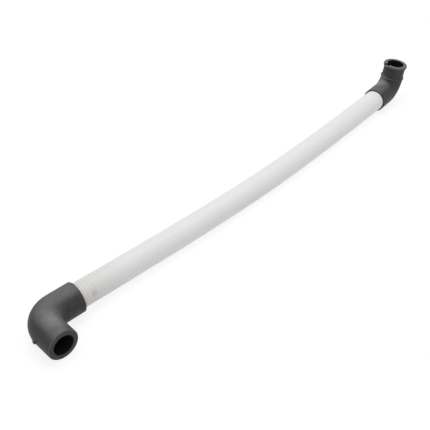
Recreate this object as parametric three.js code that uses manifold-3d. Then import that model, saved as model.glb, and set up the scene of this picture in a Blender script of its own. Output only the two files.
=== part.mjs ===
// Drain hose of a washing machine: a light, finely ribbed tube with a moulded rubber elbow on each end.
// Millimetres, +Z up. The hose lies on the plane z = 0. The plain elbow lies flat and opens along -Y,
// the tube leaves it along +X, and the collared elbow stands up at the far end.
import * as THREE from 'three';
import { mergeVertices } from 'three/addons/utils/BufferGeometryUtils.js';
import Module from 'manifold-3d';

const wasm = await Module();
wasm.setup();

// Tube
const tubeRadius = 12;
const tubeBore = 10;
const tubeSteps = 32;

// The middle of the tube, from its end inside the plain elbow to its end inside the collared one
const route = [
  [-247.8, -1.79, 14.6],
  [-237.1, -1.79, 14.6],
  [-227.1, -1.79, 14.6],
  [-214.9, -1.74, 14.45],
  [-196.9, -1.49, 13.85],
  [-171.9, -0.99, 13.1],
  [-141.9, -0.64, 12.45],
  [-106.9, -0.49, 12.15],
  [-71.9, -0.24, 12.15],
  [-36.9, 0.41, 12.15],
  [-1.9, 1.56, 12.15],
  [33.1, 3.41, 12.15],
  [68.1, 6.01, 12.15],
  [103.1, 9.11, 12.15],
  [133.1, 12.01, 12.15],
  [158.1, 14.46, 12.25],
  [178.1, 16.35, 12.6],
  [195.1, 17.85, 13.05],
  [213.1, 19.35, 13.5],
  [227.6, 21.01, 13.66],
  [236.51, 22.26, 13.66],
  [246.12, 23.6, 13.66],
];

// Fit of the tube in its seats: around it, and in front of the shoulder that stops it
const seatGap = 0.3;
const shoulderGap = 0.3;

// Both elbows are turned bodies with this many sides, bent after turning
const sides = 32;
const bendRows = 10;

// Plain elbow, a right angle
const plain = {
  turn: THREE.MathUtils.degToRad(90),
  bore: 9.5,
  seatDepth: 21,
  shoulderLand: 1.6,
  cuffWall: 2.3,
  rimChamfer: 0.4,
  insideCorner: 2.1,
  bodyWall: 4.95,
  legLength: 20.6,
  mouthRound: 1.4,
  boreChamfer: 0.6,
};
const peg = { radius: 1.9, reach: 1.5, root: 2, fromMouth: 19.5, sides: 16 };

// Collared elbow, with its clamp seat between a flange and the bead around the mouth. It opens a
// little wider than a right angle.
const collared = {
  turn: THREE.MathUtils.degToRad(85),
  bore: 9.5,
  seatDepth: 19,
  shoulderLand: 4,
  cuffWall: 1.4,
  rimChamfer: 0.4,
  insideCorner: 2.8,
  bodyWall: 3.6,
  mouthRound: 1.3,
  boreChamfer: 0.6,
};
const collar = {
  neckWall: 3.2,
  clampSeat: 12.2,
  flangeHeight: 2.8,
  flangeProud: 1.1,
  beadHeight: 3.2,
  beadProud: 1.3,
  edge: 0.5,
};
const notch = { turn: THREE.MathUtils.degToRad(31), width: 6.8, depth: 2.4, overrun: 2 };
const lean = THREE.MathUtils.degToRad(4.2);

const light = new THREE.MeshStandardMaterial({ color: 0xdcdbd8, roughness: 0.42, metalness: 0 });
light.name = 'light_plastic';
const dark = new THREE.MeshStandardMaterial({ color: 0x4c4d4f, roughness: 0.62, metalness: 0 });
dark.name = 'dark_rubber';

// The corner radius of a polygon whose flats touch a circle
function around(radius) {
  return radius / Math.cos(Math.PI / sides);
}

// A closed solid from any three.js geometry
function toSolid(geometry) {
  geometry.deleteAttribute('normal');
  geometry.deleteAttribute('uv');
  const merged = mergeVertices(geometry, 1e-4);
  const vertProperties = new Float32Array(merged.attributes.position.array);
  const triVerts = new Uint32Array(merged.index.array);
  return new wasm.Manifold(new wasm.Mesh({ numProp: 3, vertProperties, triVerts }));
}

function toMesh(name, solid, material) {
  const { vertProperties, triVerts } = solid.getMesh();
  const geometry = new THREE.BufferGeometry();
  geometry.setAttribute('position', new THREE.BufferAttribute(vertProperties, 3));
  geometry.setIndex(new THREE.BufferAttribute(triVerts, 1));
  geometry.computeVertexNormals();
  const mesh = new THREE.Mesh(geometry, material);
  mesh.name = name;
  return mesh;
}

function circle(radius) {
  return Array.from({ length: sides }, (_, i) => {
    const angle = (2 * Math.PI * i) / sides;
    return new THREE.Vector2(radius * Math.cos(angle), radius * Math.sin(angle));
  });
}

// The tube, hollow from end to end
function makeTube(points) {
  const section = new THREE.Shape(circle(tubeRadius));
  section.holes.push(new THREE.Path(circle(tubeBore)));
  const path = new THREE.CatmullRomCurve3(points);
  return toSolid(new THREE.ExtrudeGeometry(section, { steps: tubeSteps, extrudePath: path }));
}

// Where a turned profile goes once it is bent: it starts along +Y and turns towards +X
function makeBend(start, radius, turn) {
  const arc = radius * turn;
  return (along) => {
    const angle = THREE.MathUtils.clamp((along - start) / radius, 0, turn);
    const before = Math.min(along, start);
    const after = Math.max(along - start - arc, 0);
    const forward = new THREE.Vector3(Math.sin(angle), Math.cos(angle), 0);
    const inward = new THREE.Vector3(Math.cos(angle), -Math.sin(angle), 0);
    const centre = new THREE.Vector3(radius * (1 - Math.cos(angle)), before + radius * Math.sin(angle), 0);
    return { centre: centre.addScaledVector(forward, after), inward };
  };
}

// Rounded outer corner of a profile, from the wall to the end face
function roundCorner(radius, end, round) {
  return [0, 0.25, 0.5, 0.75, 1].map((share) => {
    const angle = (share * Math.PI) / 2;
    return [radius - round + round * Math.cos(angle), end - round + round * Math.sin(angle)];
  });
}

// An elbow around the tube's end: origin at the middle of its rim, +Y into it, and its leg towards +X.
// legProfile(start, end) gives the outside of the leg, from the bend to its mouth.
function makeElbow(size, legLength, legProfile) {
  const seat = around(tubeRadius + seatGap);
  const cuff = tubeRadius + seatGap + size.cuffWall;
  const body = size.bore + size.bodyWall;
  const cuffLength = size.seatDepth + size.shoulderLand;
  const bendRadius = Math.max(cuff, body) + size.insideCorner;
  const legStart = cuffLength + bendRadius * size.turn;
  const mouth = legStart + legLength;
  const rows = Array.from({ length: bendRows + 1 }, (_, i) => i / bendRows);
  const between = (from, to, share) => [
    THREE.MathUtils.lerp(from, to, share),
    THREE.MathUtils.lerp(cuffLength, legStart, share),
  ];
  const outside = rows.map((share) => between(cuff, body, share));
  const inside = rows.map((share) => between(tubeBore, size.bore, share)).reverse();
  const profile = [
    [seat, 0],
    [cuff - size.rimChamfer, 0],
    [cuff, size.rimChamfer],
    ...outside,
    ...legProfile(legStart, mouth),
    [size.bore + size.boreChamfer, mouth],
    [size.bore, mouth - size.boreChamfer],
    ...inside,
    [tubeBore, size.seatDepth],
    [seat, size.seatDepth],
    [seat, 0],
  ];
  const outline = profile.map(([radius, along]) => new THREE.Vector2(radius, along));
  const geometry = new THREE.LatheGeometry(outline, sides);
  const bend = makeBend(cuffLength, bendRadius, size.turn);
  const position = geometry.attributes.position;
  for (let i = 0; i < position.count; i += 1) {
    const place = bend(position.getY(i));
    const point = place.centre.addScaledVector(place.inward, position.getX(i));
    position.setXYZ(i, point.x, point.y, point.z + position.getZ(i));
  }
  return { solid: toSolid(geometry), bend, mouth };
}

// Plain elbow, with a short peg on the outside of its leg
function makePlainElbow() {
  const body = plain.bore + plain.bodyWall;
  const legProfile = (start, end) => roundCorner(body, end, plain.mouthRound);
  const elbow = makeElbow(plain, plain.legLength, legProfile);
  const { centre, inward } = elbow.bend(elbow.mouth - peg.fromMouth);
  const length = peg.root + peg.reach;
  const shape = new THREE.CylinderGeometry(peg.radius, peg.radius, length, peg.sides);
  shape.rotateZ(Math.PI / 2 - plain.turn);
  const middle = centre.addScaledVector(inward, -(body + peg.reach - length / 2));
  shape.translate(middle.x, middle.y, middle.z);
  return elbow.solid.add(toSolid(shape));
}

// Collared elbow, with a notch through the bead, turned a little from the inside of its bend
function makeCollaredElbow() {
  const body = collared.bore + collared.bodyWall;
  const neck = collared.bore + collar.neckWall;
  const flange = neck + collar.flangeProud;
  const bead = neck + collar.beadProud;
  const legLength = collar.flangeHeight + collar.clampSeat + collar.beadHeight;
  const legProfile = (start, end) => {
    const seatEnd = end - collar.beadHeight;
    return [
      [Math.max(body, flange - collar.edge), start + collar.edge / 2],
      [flange, start + collar.edge * 1.5],
      [flange, start + collar.flangeHeight - collar.edge],
      [neck, start + collar.flangeHeight],
      [neck, seatEnd],
      [bead - collar.edge, seatEnd],
      [bead, seatEnd + collar.edge],
      ...roundCorner(bead, end, collared.mouthRound),
    ];
  };
  const elbow = makeElbow(collared, legLength, legProfile);
  const { centre } = elbow.bend(elbow.mouth);
  const across = bead - collared.bore + 2 * notch.overrun;
  const cutter = new THREE.BoxGeometry(2 * notch.depth, across, notch.width);
  cutter.translate(0, -(bead + collared.bore) / 2, 0);
  cutter.rotateX(-notch.turn);
  cutter.rotateZ(Math.PI / 2 - collared.turn);
  cutter.translate(centre.x, centre.y, centre.z);
  return elbow.solid.subtract(toSolid(cutter));
}

// Seats an elbow on a tube end: outward points out of that end, and opens is where its leg goes
function seatElbow(mesh, tubeEnd, outward, opens, seatDepth) {
  const rim = tubeEnd.clone().addScaledVector(outward, shoulderGap - seatDepth);
  const side = new THREE.Vector3().crossVectors(opens, outward);
  mesh.position.copy(rim);
  mesh.quaternion.setFromRotationMatrix(new THREE.Matrix4().makeBasis(opens, outward, side));
  return mesh;
}

const points = route.map(([x, y, z]) => new THREE.Vector3(x, y, z));
const nearEnd = points[0];
const farEnd = points[points.length - 1];
const nearOut = nearEnd.clone().sub(points[1]).normalize();
const farOut = farEnd.clone().sub(points[points.length - 2]).normalize();

const up = new THREE.Vector3(0, 0, 1);
const nearOpens = new THREE.Vector3().crossVectors(nearOut, up).negate();
const farSide = new THREE.Vector3().crossVectors(farOut, up);
const farOpens = up.clone().multiplyScalar(Math.cos(lean)).addScaledVector(farSide, Math.sin(lean));

const tube = toMesh('ribbed_tube', makeTube(points), light);
const plainElbow = toMesh('plain_elbow', makePlainElbow(), dark);
const collaredElbow = toMesh('collared_elbow', makeCollaredElbow(), dark);
seatElbow(plainElbow, nearEnd, nearOut, nearOpens, plain.seatDepth);
seatElbow(collaredElbow, farEnd, farOut, farOpens, collared.seatDepth);

// The hose lies on z = 0, with the middle of its box over the origin
const hose = new THREE.Group();
hose.add(tube, plainElbow, collaredElbow);
hose.updateMatrixWorld(true);
const box = new THREE.Box3().setFromObject(hose, true);
const middle = box.getCenter(new THREE.Vector3());
hose.position.set(-middle.x, -middle.y, -box.min.z);

export default hose;
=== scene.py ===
import bisect
import math

import bmesh
import bpy
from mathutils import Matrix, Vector


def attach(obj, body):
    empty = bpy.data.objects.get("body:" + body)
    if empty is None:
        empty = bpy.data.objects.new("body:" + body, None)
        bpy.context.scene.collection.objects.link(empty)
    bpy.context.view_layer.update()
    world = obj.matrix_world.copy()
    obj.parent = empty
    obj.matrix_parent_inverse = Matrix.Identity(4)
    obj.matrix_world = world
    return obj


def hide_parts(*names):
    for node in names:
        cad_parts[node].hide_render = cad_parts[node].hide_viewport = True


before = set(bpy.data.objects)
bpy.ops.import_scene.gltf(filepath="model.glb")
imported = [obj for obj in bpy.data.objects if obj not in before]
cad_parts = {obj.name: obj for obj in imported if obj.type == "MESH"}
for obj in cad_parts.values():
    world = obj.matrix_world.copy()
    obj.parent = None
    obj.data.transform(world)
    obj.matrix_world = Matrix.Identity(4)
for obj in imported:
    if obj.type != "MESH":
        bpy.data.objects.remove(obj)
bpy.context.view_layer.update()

scene = bpy.context.scene
up = Vector((0, 0, 1))


def addObject(name, data):
    made = bpy.data.objects.new(name, data)
    scene.collection.objects.link(made)
    return made


# Stands a camera or a lamp at a place, looking along a heading
def standAt(holder, place, heading):
    holder.location = place
    holder.rotation_mode = "QUATERNION"
    holder.rotation_quaternion = heading.to_track_quat("-Z", "Y")


camera = {
    "place": (-0.4532, -0.40479, 0.4650),
    "heading": 45.85,  # degrees from +X towards +Y
    "tilt": 38.9,  # degrees below level
    "lens": 61.7,
    "sensor": 36.0,
}


def makeCamera():
    lens = bpy.data.cameras.new("camera")
    lens.lens = camera["lens"]
    lens.sensor_width = camera["sensor"]
    heading = math.radians(camera["heading"])
    tilt = math.radians(camera["tilt"])
    level = math.cos(tilt)
    looks = Vector((math.cos(heading) * level, math.sin(heading) * level, -math.sin(tilt)))
    scene.camera = addObject("camera", lens)
    standAt(scene.camera, camera["place"], looks)


# A path through points: each stretch is cubic, and its slopes come from the points beside it
def followRoute(points):
    knots = [Vector(point) for point in points]
    gaps = [(after - before).length for before, after in zip(knots, knots[1:])]
    headings = [(after - before) / gap for before, after, gap in zip(knots, knots[1:], gaps)]
    slopes = [headings[0]]
    for i in range(1, len(gaps)):
        before = gaps[i - 1]
        after = gaps[i]
        slopes.append((headings[i - 1] * after + headings[i] * before) / (before + after))
    slopes.append(headings[-1])
    starts = [0.0]
    for gap in gaps:
        starts.append(starts[-1] + gap)

    def place(along):
        i = min(bisect.bisect_right(starts, along), len(gaps)) - 1
        gap = gaps[i]
        t = (along - starts[i]) / gap
        centre = (
            knots[i] * (1 + 2 * t) * (1 - t) ** 2
            + slopes[i] * gap * t * (1 - t) ** 2
            + knots[i + 1] * t * t * (3 - 2 * t)
            + slopes[i + 1] * gap * t * t * (t - 1)
        )
        heading = (
            (knots[i + 1] - knots[i]) * 6 * t * (1 - t)
            + slopes[i] * gap * (1 - t) * (1 - 3 * t)
            + slopes[i + 1] * gap * t * (3 * t - 2)
        ).normalized()
        across = up.cross(heading).normalized()
        return centre, across, heading.cross(across)

    return place, starts[-1]


# Turns a finished bmesh into an object, with its faces looking outward
def finishSkin(name, skin):
    bmesh.ops.recalc_face_normals(skin, faces=skin.faces)
    mesh = bpy.data.meshes.new(name)
    skin.to_mesh(mesh)
    skin.free()
    return addObject(name, mesh)


# A closed skin around a bent axis: every (radius, along) of the outline becomes a ring
def turnSkin(name, outline, place, sides):
    skin = bmesh.new()
    turns = [2 * math.pi * i / sides for i in range(sides)]
    rings = []
    for radius, along in outline:
        centre, across, over = place(along)
        rings.append([
            skin.verts.new(centre + (across * math.cos(turn) + over * math.sin(turn)) * radius)
            for turn in turns
        ])
    for ring, following in zip(rings, rings[1:] + rings[:1]):
        for i in range(sides):
            j = (i + 1) % sides
            skin.faces.new((ring[i], ring[j], following[j], following[i]))
    return finishSkin(name, skin)


# An outline whose corners are rounded off: each corner is (radius, along, rounding)
def roundOff(corners, steps=5):
    outline = []
    for i, (radius, along, rounding) in enumerate(corners):
        here = Vector((radius, along))
        if not rounding:
            outline.append(here)
            continue
        before = Vector(corners[i - 1][:2]) - here
        after = Vector(corners[(i + 1) % len(corners)][:2]) - here
        start = here + before.normalized() * rounding
        end = here + after.normalized() * rounding
        for step in range(steps + 1):
            t = step / steps
            outline.append(start.lerp(here, t).lerp(here.lerp(end, t), t))
    return outline


# The same outline with no stretch longer than a given length
def divide(outline, longest):
    divided = []
    for here, after in zip(outline, outline[1:] + outline[:1]):
        count = max(1, math.ceil((after - here).length / longest))
        divided += [here.lerp(after, step / count) for step in range(count)]
    return divided


# Joins a tool to a piece, or cuts it out of it, and leaves one clean mesh
def carve(piece, tool, operation):
    change = piece.modifiers.new("carve", "BOOLEAN")
    change.operation = operation
    change.solver = "EXACT"
    change.object = tool
    graph = bpy.context.evaluated_depsgraph_get()
    carved = bpy.data.meshes.new_from_object(piece.evaluated_get(graph))
    piece.modifiers.clear()
    piece.data = carved
    bpy.data.objects.remove(tool)


# The middle of the tube, from its end inside the plain elbow to its end inside the collared one
route = [
    (-0.2478, -0.00179, 0.0146),
    (-0.2371, -0.00179, 0.0146),
    (-0.2271, -0.00179, 0.0146),
    (-0.2149, -0.00174, 0.01445),
    (-0.1969, -0.00149, 0.01385),
    (-0.1719, -0.00099, 0.0131),
    (-0.1419, -0.00064, 0.01245),
    (-0.1069, -0.00049, 0.01215),
    (-0.0719, -0.00024, 0.01215),
    (-0.0369, 0.00041, 0.01215),
    (-0.0019, 0.00156, 0.01215),
    (0.0331, 0.00341, 0.01215),
    (0.0681, 0.00601, 0.01215),
    (0.1031, 0.00911, 0.01215),
    (0.1331, 0.01201, 0.01215),
    (0.1581, 0.01446, 0.01225),
    (0.1781, 0.01635, 0.0126),
    (0.1951, 0.01785, 0.01305),
    (0.2131, 0.01935, 0.0135),
    (0.2276, 0.02101, 0.01366),
    (0.23651, 0.02226, 0.01366),
    (0.24612, 0.0236, 0.01366),
]

tube = {
    "radius": 0.012,
    "bore": 0.010,
    "length": 0.495,
    "exit": (-0.2271, -0.00179, 0.0146),  # at the rim of the plain elbow
    "ribPitch": 0.004,
    "ribDepth": 0.0002,  # at the plain elbow
    "farRibDepth": 0.0001,  # from ribFade along the tube
    "ribFade": 0.22,
    "rowsPerRib": 8,
    "sides": 64,
    "smoothAngle": 60,
    "cloud": (55, 3, 0.5),  # noise: its scale, detail and roughness
    "speck": (1400, 2, 0.6),
    "cloudRange": (0.3, 0.75),
    "colour": (0.82, 0.818, 0.816),
    "shade": (0.805, 0.803, 0.80),
    # painted shade: the tube is greyer near the plain elbow
    "nearElbowShade": (0.66, 0.64, 0.625),  # greyer near the plain elbow
    "nearElbowShadeReach": 0.06,
    "nearElbowShadeShare": 0.6,
    # painted shade, darker in the grooves between the ribs
    "grooveShadeColour": (0.50, 0.495, 0.49),
    "grooveShadeShare": 0.16,
    "tint": (0.70, 0.58, 0.46),  # warm beside the cuff
    "tintReach": 0.005,
    "tintShare": (0.3, 0.8),
    "smudge": (-0.2155, -0.0124, 0.0192),
    "smudgeColour": (0.40, 0.38, 0.38),
    "smudgeReach": (0.0046, 0.0004),
    "smudgeShare": 0.42,
    "roughness": (0.4, 0.6),
    "bump": {"Strength": 0.25, "Distance": 0.0002},
    "surface": {
        "IOR": 1.49,
        "Subsurface Weight": 0.15,
        "Subsurface Radius": (1.0, 0.97, 0.92),
        "Subsurface Scale": 0.002,
    },
}


def makeTube():
    place, length = followRoute(route)
    rows = round(length / tube["ribPitch"] * tube["rowsPerRib"])
    outside = []
    for row in range(rows + 1):
        along = length * row / rows
        wave = 0.5 - 0.5 * math.cos(2 * math.pi * along / tube["ribPitch"])
        share = min(along / tube["ribFade"], 1)
        depth = tube["ribDepth"] * (1 - share) + tube["farRibDepth"] * share
        outside.append((tube["radius"] - depth * wave ** 2, along))
    inside = [(tube["bore"], along) for _, along in outside[::-tube["rowsPerRib"]]]
    if inside[-1][1] > 0:
        inside.append((tube["bore"], 0.0))
    piece = turnSkin("ribbed_hose_tube", outside + inside, place, tube["sides"])
    return piece, [place(along)[0] for _, along in outside]


# Both elbows are turned from the tube's rim to the mouth, and bent afterwards
elbow = {"sides": 96, "longestRow": 0.0012, "seat": 0.01205, "seatEdge": 0.0002, "smoothAngle": 40}


# Where a turned elbow goes once it is bent: outward from the tube, then round to where it opens
def bendElbow(size):
    rim = Vector(size["rim"])
    outward = size["outward"]
    opens = size["opens"]
    turn = size["turn"]
    start = size["seatDepth"] + size["shoulderLand"]
    radius = max(size["cuff"], size["body"]) + size["insideCorner"]
    arc = radius * turn
    side = opens.cross(outward)

    def place(along):
        angle = min(max((along - start) / radius, 0), turn)
        forward = outward * math.cos(angle) + opens * math.sin(angle)
        inward = opens * math.cos(angle) - outward * math.sin(angle)
        centre = rim + outward * (min(along, start) + radius * math.sin(angle))
        centre += opens * radius * (1 - math.cos(angle)) + forward * max(along - start - arc, 0)
        return centre, inward, side

    return place, start, start + arc


def makeElbow(name, size, legCorners):
    place, cuffEnd, legStart = bendElbow(size)
    mouth = legStart + size["legLength"]
    corners = [
        (elbow["seat"], 0, elbow["seatEdge"]),
        (size["cuff"], 0, size["rimRound"]),
        (size["cuff"], cuffEnd, 0),
        *legCorners(legStart, mouth),
        (size["bore"], mouth, size["boreRound"]),
        (size["bore"], legStart, 0),
        (tube["bore"], cuffEnd, 0),
        (tube["bore"], size["seatDepth"], 0),
        (elbow["seat"], size["seatDepth"], 0),
    ]
    outline = divide(roundOff(corners), elbow["longestRow"])
    return turnSkin(name, outline, place, elbow["sides"]), place, mouth


plain = {
    "turn": math.radians(90),
    "bore": 0.0095,
    "seatDepth": 0.021,
    "shoulderLand": 0.0016,
    "cuff": 0.0146,
    "rimRound": 0.0005,
    "insideCorner": 0.0021,
    "body": 0.01445,
    "legLength": 0.0206,
    "mouthRound": 0.0014,
    "boreRound": 0.0006,
    "rim": (-0.2271, -0.00179, 0.0146),
    "outward": Vector((-1, 0, 0)),
    "opens": Vector((0, -1, 0)),
    # the painted highlight sits here, on the inside of the bend
    "bendHighlight": (-0.2573, -0.0207, 0.0265),  # on the inside of the bend
    "bendHighlightReach": 0.017,
    "bendHighlightShare": 0.7,
    "wornAndHighlightWidth": 0.0016,
    "bondWidth": 0.0026,
    "bondShare": 0.9,
}
peg = {
    "radius": 0.0019,
    "reach": 0.0015,
    "root": 0.002,  # how deep it stands in the leg
    "fromMouth": 0.0195,
    "sides": 32,
    "round": 0.0004,
    "core": 0.0002,
}


def makePlainElbow():
    def legCorners(start, mouth):
        return [(plain["body"], start, 0), (plain["body"], mouth, plain["mouthRound"])]

    piece, place, mouth = makeElbow("plain_rubber_elbow", plain, legCorners)

    # The peg stands on the outside of the leg
    centre, inward, side = place(mouth - peg["fromMouth"])
    foot = centre - inward * (plain["body"] - peg["root"])
    top = peg["root"] + peg["reach"]
    shape = [
        (peg["core"], 0, 0),
        (peg["radius"], 0, 0),
        (peg["radius"], top, peg["round"]),
        (peg["core"], top, 0),
    ]

    def pegPlace(along):
        return foot - inward * along, side, side.cross(inward)

    carve(piece, turnSkin("peg", roundOff(shape), pegPlace, peg["sides"]), "UNION")
    centre, inward, side = place(mouth)
    return piece, centre, side.cross(inward)


farHeading = math.radians(7.97)
farLean = math.radians(4.2)
farOut = Vector((math.cos(farHeading), math.sin(farHeading), 0))
collared = {
    "turn": math.radians(85),
    "bore": 0.0095,
    "seatDepth": 0.019,
    "shoulderLand": 0.004,
    "cuff": 0.0137,
    "rimRound": 0.0004,
    "insideCorner": 0.0028,
    "body": 0.0131,
    "legLength": 0.0182,
    "mouthRound": 0.0013,
    "boreRound": 0.0006,
    "rim": (0.2276, 0.02102, 0.01366),
    "outward": farOut,
    "opens": up * math.cos(farLean) + farOut.cross(up) * math.sin(farLean),
    # the painted highlight sits here, on the inside of the bend
    "bendHighlight": (0.2500, 0.0305, 0.0270),  # on the inside of the bend
    "bendHighlightReach": 0.012,
    "bendHighlightShare": 1.1,
    # pale band around the mouth: wear, and on the bead partly a painted highlight
    "wornAndHighlightWidth": 0.0032,
    "bondWidth": 0.001,
    "bondShare": 0.2,
}
collar = {
    "neck": 0.0127,
    "flange": 0.0138,
    "flangeHeight": 0.0028,
    "bead": 0.0140,
    "beadHeight": 0.0032,
    "edge": 0.0006,
    "slope": 0.0005,
}
notch = {"turn": math.radians(31), "width": 0.0068, "depth": 0.0024, "overrun": 0.002}


# A block that cuts the notch through the bead, turned a little from the inside of the bend
def makeNotch(centre, inward, side):
    forward = side.cross(inward)
    towards = inward * math.cos(notch["turn"]) + side * math.sin(notch["turn"])
    beside = side * math.cos(notch["turn"]) - inward * math.sin(notch["turn"])
    middle = centre + towards * (collar["bead"] + collared["bore"]) / 2
    across = (collar["bead"] - collared["bore"]) / 2 + notch["overrun"]
    block = bmesh.new()
    bmesh.ops.create_cube(block, size=2)
    for corner in block.verts:
        reach = corner.co.copy()
        corner.co = (
            middle + towards * reach.x * across
            + beside * reach.y * notch["width"] / 2
            + forward * reach.z * notch["depth"]
        )
    return finishSkin("notch", block)


def makeCollaredElbow():
    def legCorners(start, mouth):
        flangeEnd = start + collar["flangeHeight"]
        beadStart = mouth - collar["beadHeight"]
        edge = collar["edge"]
        slope = collar["slope"]
        return [
            (collared["body"], start, edge / 2),
            (collar["flange"], start + slope, edge),
            (collar["flange"], flangeEnd - slope, edge),
            (collar["neck"], flangeEnd, edge),
            (collar["neck"], beadStart, edge),
            (collar["bead"], beadStart + slope / 2, edge),
            (collar["bead"], mouth, collared["mouthRound"]),
        ]

    piece, place, mouth = makeElbow("collared_rubber_elbow", collared, legCorners)
    centre, inward, side = place(mouth)
    carve(piece, makeNotch(centre, inward, side), "DIFFERENCE")
    return piece, centre, side.cross(inward)


# One output of a node. Sums and products of outputs add Math nodes
class Wire:
    def __init__(self, tree, socket=None):
        self.tree = tree
        self.socket = socket

    # Adds a node: its settings first, then the values or links of its sockets
    def node(self, kind, settings=None, inputs=None, output=0):
        made = self.tree.nodes.new(kind)
        for name, value in (settings or {}).items():
            setattr(made, name, value)
        for name, value in (inputs or {}).items():
            if isinstance(value, Wire):
                self.tree.links.new(value.socket, made.inputs[name])
            else:
                made.inputs[name].default_value = value
        return Wire(self.tree, made.outputs[output])

    def math(self, operation, first, second=0.0):
        return self.node("ShaderNodeMath", {"operation": operation}, {0: first, 1: second})

    def __add__(self, other):
        return self.math("ADD", self, other)

    def __radd__(self, other):
        return self.math("ADD", other, self)

    def __sub__(self, other):
        return self.math("SUBTRACT", self, other)

    def __rsub__(self, other):
        return self.math("SUBTRACT", other, self)

    def __mul__(self, other):
        return self.math("MULTIPLY", self, other)

    def __rmul__(self, other):
        return self.math("MULTIPLY", other, self)

    # Makes an output that runs from 0 to 1 run from low to high
    def stretch(self, low, high):
        return self * (high - low) + low

    # A smooth step from 0 at low to 1 at high, or the other way where high is the smaller
    def fade(self, low, high):
        inputs = {"Value": self, "From Min": low, "From Max": high}
        return self.node("ShaderNodeMapRange", {"interpolation_type": "SMOOTHSTEP"}, inputs)

    # Mixes two colours by this output
    def blend(self, first, second):
        colours = [value if isinstance(value, Wire) else (*value, 1) for value in (first, second)]
        inputs = {0: self, 6: colours[0], 7: colours[1]}
        return self.node("ShaderNodeMix", {"data_type": "RGBA"}, inputs, 2)

    def noise(self, scale, detail, roughness):
        inputs = {"Vector": self, "Scale": scale, "Detail": detail, "Roughness": roughness}
        return self.node("ShaderNodeTexNoise", {}, inputs)

    def vector(self, operation, other=(0, 0, 0), output="Vector"):
        inputs = {0: self, 1: tuple(other)}
        return self.node("ShaderNodeVectorMath", {"operation": operation}, inputs, output)

    # How far a place is along an axis from a point
    def distanceAlong(self, point, axis):
        return self.vector("SUBTRACT", point).vector("DOT_PRODUCT", axis, "Value")

    # How far a place is from a line through a point
    def distanceAcross(self, point, axis):
        across = self.vector("SUBTRACT", point).vector("CROSS_PRODUCT", axis)
        return across.vector("LENGTH", output="Value")

    def distanceFrom(self, point):
        return self.vector("DISTANCE", point, "Value")


# A new material, and the place on its piece that its patterns start from
def newMaterial(name):
    material = bpy.data.materials.new(name)
    material.use_nodes = True
    material.node_tree.nodes.clear()
    return material, Wire(material.node_tree).node("ShaderNodeTexCoord", {}, {}, "Object")


def showSurface(surface, kind="ShaderNodeOutputMaterial"):
    output = surface.tree.nodes.new(kind)
    surface.tree.links.new(surface.socket, output.inputs["Surface"])


def tubePlastic():
    material, place = newMaterial("ribbed_white_plastic")
    cloud = place.noise(*tube["cloud"])
    speck = place.noise(*tube["speck"])
    colour = cloud.fade(*tube["cloudRange"]).blend(tube["shade"], tube["colour"])
    # Painted shade: greyer towards the plain elbow
    fromRim = place.distanceAlong(tube["exit"], (1, 0, 0))
    nearElbowShade = fromRim.fade(tube["nearElbowShadeReach"], 0) * tube["nearElbowShadeShare"]
    colour = nearElbowShade.blend(colour, tube["nearElbowShade"])

    # Painted shade: the grooves between the ribs are a little darker, most of all near the plain
    # elbow
    fromEnd = fromRim + (tube["exit"][0] - route[0][0])
    crest = place.math("COSINE", fromEnd * (2 * math.pi / tube["ribPitch"]))
    grooveShade = (0.5 - crest * 0.5) * fromEnd.fade(tube["ribFade"], 0) * tube["grooveShadeShare"]
    colour = grooveShade.blend(colour, tube["grooveShadeColour"])

    tint = fromRim.fade(tube["tintReach"], 0) * cloud.stretch(*tube["tintShare"])
    colour = tint.blend(colour, tube["tint"])
    smudge = place.distanceFrom(tube["smudge"]).fade(*tube["smudgeReach"]) * tube["smudgeShare"]
    colour = smudge.blend(colour, tube["smudgeColour"])
    surface = place.node("ShaderNodeBsdfPrincipled", {}, {
        **tube["surface"],
        "Base Color": colour,
        "Roughness": cloud.stretch(*tube["roughness"]),
        "Normal": place.node("ShaderNodeBump", {}, {**tube["bump"], "Height": speck}),
    })
    showSurface(surface)
    return material


# Moulded rubber: mottled, with a painted highlight where it faces up and inside the bend, paler
# around its mouth from wear (on the collared bead partly a painted highlight), near black inside as
# painted shade, and brown where it is bonded to the tube. Its noises are given by scale, detail and
# roughness
rubber = {
    "mottle": (130, 4, 0.6),
    "grain": (1900, 3, 0.6),
    "mottleShare": 0.7,
    "mottleRange": (0.3, 0.7),
    "dark": (0.029, 0.030, 0.032),
    "light": (0.049, 0.050, 0.051),
    # painted highlight: paler where a surface faces up and on the inside of the bend
    "paintedHighlight": (0.20, 0.202, 0.204),
    "highlightFacing": (0.72, 1.05),  # how far up a surface faces
    "highlightFacingShare": 0.6,
    "highlightMottle": (0.6, 1.3),
    "bendHighlightCore": 0.001,
    # paler around the mouth: wear, and on the collared bead partly a painted highlight
    "wornAndHighlight": (0.18, 0.176, 0.168),
    "wornAndHighlightEdge": (0.00001, -0.0002),  # leaves the flat of the mouth unworn
    "wornAndHighlightGrain": (0.2, 0.8),
    "bond": (0.085, 0.042, 0.030),
    "bondCore": 0.3,  # of its width
    "bondMottle": (0.2, 1.0),
    # painted shade: near black inside the bore
    "inside": (0.004, 0.0035, 0.0035),
    "boreShadeReach": 0.031,  # short of the outside of the bends
    "boreShadeFade": 0.002,
    "boreShadeEdge": 0.6,  # of the rounding of the bore
    "boreShadeSlack": 0.0001,
    "boreShadeRoughness": 0.3,
    "roughness": (0.42, 0.62),
    "bumpGrain": 0.6,
    "bump": {"Strength": 0.35, "Distance": 0.0003},
    "surface": {"IOR": 1.5, "Specular IOR Level": 0.22},
}


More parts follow.
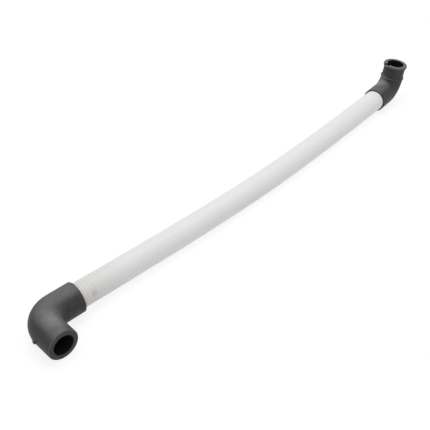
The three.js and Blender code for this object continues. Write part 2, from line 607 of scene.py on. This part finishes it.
def elbowRubber(name, size, mouthPoint, mouthAxis):
    material, place = newMaterial(name)
    mottle = place.noise(*rubber["mottle"])
    grain = place.noise(*rubber["grain"])
    shades = mottle * rubber["mottleShare"] + grain * (1 - rubber["mottleShare"])
    colour = shades.fade(*rubber["mottleRange"]).blend(rubber["dark"], rubber["light"])

    # Painted highlight: paler where a surface faces up, and on the inside of the bend
    normal = place.node("ShaderNodeTexCoord", {}, {}, "Normal")
    facing = place.node("ShaderNodeSeparateXYZ", {}, {0: normal}, "Z")
    bendHighlight = place.distanceFrom(size["bendHighlight"]).fade(size["bendHighlightReach"], rubber["bendHighlightCore"])
    paintedHighlight = facing.fade(*rubber["highlightFacing"]) * rubber["highlightFacingShare"] + bendHighlight * size["bendHighlightShare"]
    colour = (paintedHighlight * mottle.stretch(*rubber["highlightMottle"])).blend(colour, rubber["paintedHighlight"])

    # Paler around the mouth: wear, and on the collared elbow's bead partly a painted highlight
    fromMouth = place.distanceAlong(mouthPoint, mouthAxis)
    wornAndHighlight = fromMouth.fade(-size["wornAndHighlightWidth"], 0) * fromMouth.fade(*rubber["wornAndHighlightEdge"])
    colour = (wornAndHighlight * grain.stretch(*rubber["wornAndHighlightGrain"])).blend(colour, rubber["wornAndHighlight"])

    fromRim = place.distanceAlong(size["rim"], size["outward"])
    bond = fromRim.fade(size["bondWidth"], size["bondWidth"] * rubber["bondCore"])
    bond = bond * mottle.stretch(*rubber["bondMottle"]) * size["bondShare"]
    colour = bond.blend(colour, rubber["bond"])

    # Painted shade: the bore is made near black, as far in as it can be seen
    fromAxis = place.distanceAcross(mouthPoint, mouthAxis)
    edge = size["bore"] + size["boreRound"] * rubber["boreShadeEdge"]
    deepest = -rubber["boreShadeReach"]
    inside = fromAxis.fade(edge, size["bore"] + rubber["boreShadeSlack"])
    inside = inside * fromMouth.fade(deepest, deepest + rubber["boreShadeFade"])
    colour = inside.blend(colour, rubber["inside"])

    height = grain * rubber["bumpGrain"] + mottle * (1 - rubber["bumpGrain"])
    surface = place.node("ShaderNodeBsdfPrincipled", {}, {
        **rubber["surface"],
        "Base Color": colour,
        "Roughness": mottle.stretch(*rubber["roughness"]) + inside * rubber["boreShadeRoughness"],
        "Normal": place.node("ShaderNodeBump", {}, {**rubber["bump"], "Height": height}),
    })
    showSurface(surface)
    return material


# What the camera, reflections and clear things see, from 0 to 1
def seenDirectly(wire):
    seen, glossy, clear = [
        wire.node("ShaderNodeLightPath", {}, {}, name)
        for name in ("Is Camera Ray", "Is Glossy Ray", "Is Transmission Ray")
    ]
    return wire.math("MAXIMUM", wire.math("MAXIMUM", seen, glossy), clear)


# The floor is white for the light that falls on the hose. What the camera sees of it is mostly glow,
# which turns to plain white further away, so that no edge shows behind it
floor = {
    "half": 4.0,
    "white": (0.88, 0.88, 0.88),
    "seen": (0.2, 0.2, 0.2),
    "glow": (0.84, 0.84, 0.84),
    "whiteFrom": (0.5, 1.6),
}


def makeFloor():
    half = floor["half"]
    mesh = bpy.data.meshes.new("floor")
    corners = [(-half, -half, 0), (half, -half, 0), (half, half, 0), (-half, half, 0)]
    mesh.from_pydata(corners, [], [(0, 1, 2, 3)])
    material, place = newMaterial("pale_floor")
    seen = seenDirectly(place)
    away = place.distanceFrom((0, 0, 0)).fade(*floor["whiteFrom"])
    pale = seen.blend(floor["white"], away.blend(floor["seen"], (0, 0, 0)))
    matt = place.node("ShaderNodeBsdfDiffuse", {}, {"Color": pale})
    glow = place.node("ShaderNodeEmission", {}, {
        "Color": away.blend(floor["glow"], (1, 1, 1)),
        "Strength": seen,
    })
    showSurface(place.node("ShaderNodeAddShader", {}, {0: matt, 1: glow}))
    mesh.materials.append(material)
    plane = addObject("floor", mesh)


sky = {"light": 0.58}


def makeSky():
    world = bpy.data.worlds.new("studio")
    world.use_nodes = True
    world.node_tree.nodes.clear()
    start = Wire(world.node_tree)
    strength = seenDirectly(start).stretch(sky["light"], 1)
    back = start.node("ShaderNodeBackground", {}, {"Color": (1, 1, 1, 1), "Strength": strength})
    showSurface(back, "ShaderNodeOutputWorld")
    scene.world = world


lamp = {"power": 8.8, "size": 1.0, "place": (0.1, 0.15, 1.38), "aim": (0, 0, 0)}


def makeLamp():
    light = bpy.data.lights.new("softbox", "AREA")
    light.shape = "SQUARE"
    light.size = lamp["size"]
    light.energy = lamp["power"]
    standAt(addObject("softbox", light), lamp["place"], Vector(lamp["aim"]) - Vector(lamp["place"]))


# Gives a piece its finish and its place in the frame
def dress(piece, node, material, smoothAngle):
    piece.data.shade_smooth()
    piece.data.set_sharp_from_angle(angle=math.radians(smoothAngle))
    piece.data.materials.clear()
    piece.data.materials.append(material)
    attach(piece, "root")
    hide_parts(node)


makeCamera()
print("camera placed")

tubePiece, tubeCentres = makeTube()
dress(tubePiece, "ribbed_tube", tubePlastic(), tube["smoothAngle"])
print("tube made,", len(tubePiece.data.polygons), "faces")

plainPiece, mouthPoint, mouthAxis = makePlainElbow()
plainRubber = elbowRubber("rubber_near", plain, mouthPoint, mouthAxis)
dress(plainPiece, "plain_elbow", plainRubber, elbow["smoothAngle"])
print("plain elbow made,", len(plainPiece.data.polygons), "faces")

collaredPiece, mouthPoint, mouthAxis = makeCollaredElbow()
collaredRubber = elbowRubber("rubber_far", collared, mouthPoint, mouthAxis)
dress(collaredPiece, "collared_elbow", collaredRubber, elbow["smoothAngle"])
print("collared elbow made,", len(collaredPiece.data.polygons), "faces")

makeFloor()
makeSky()
makeLamp()
scene.view_settings.view_transform = "Standard"
print("stage set")
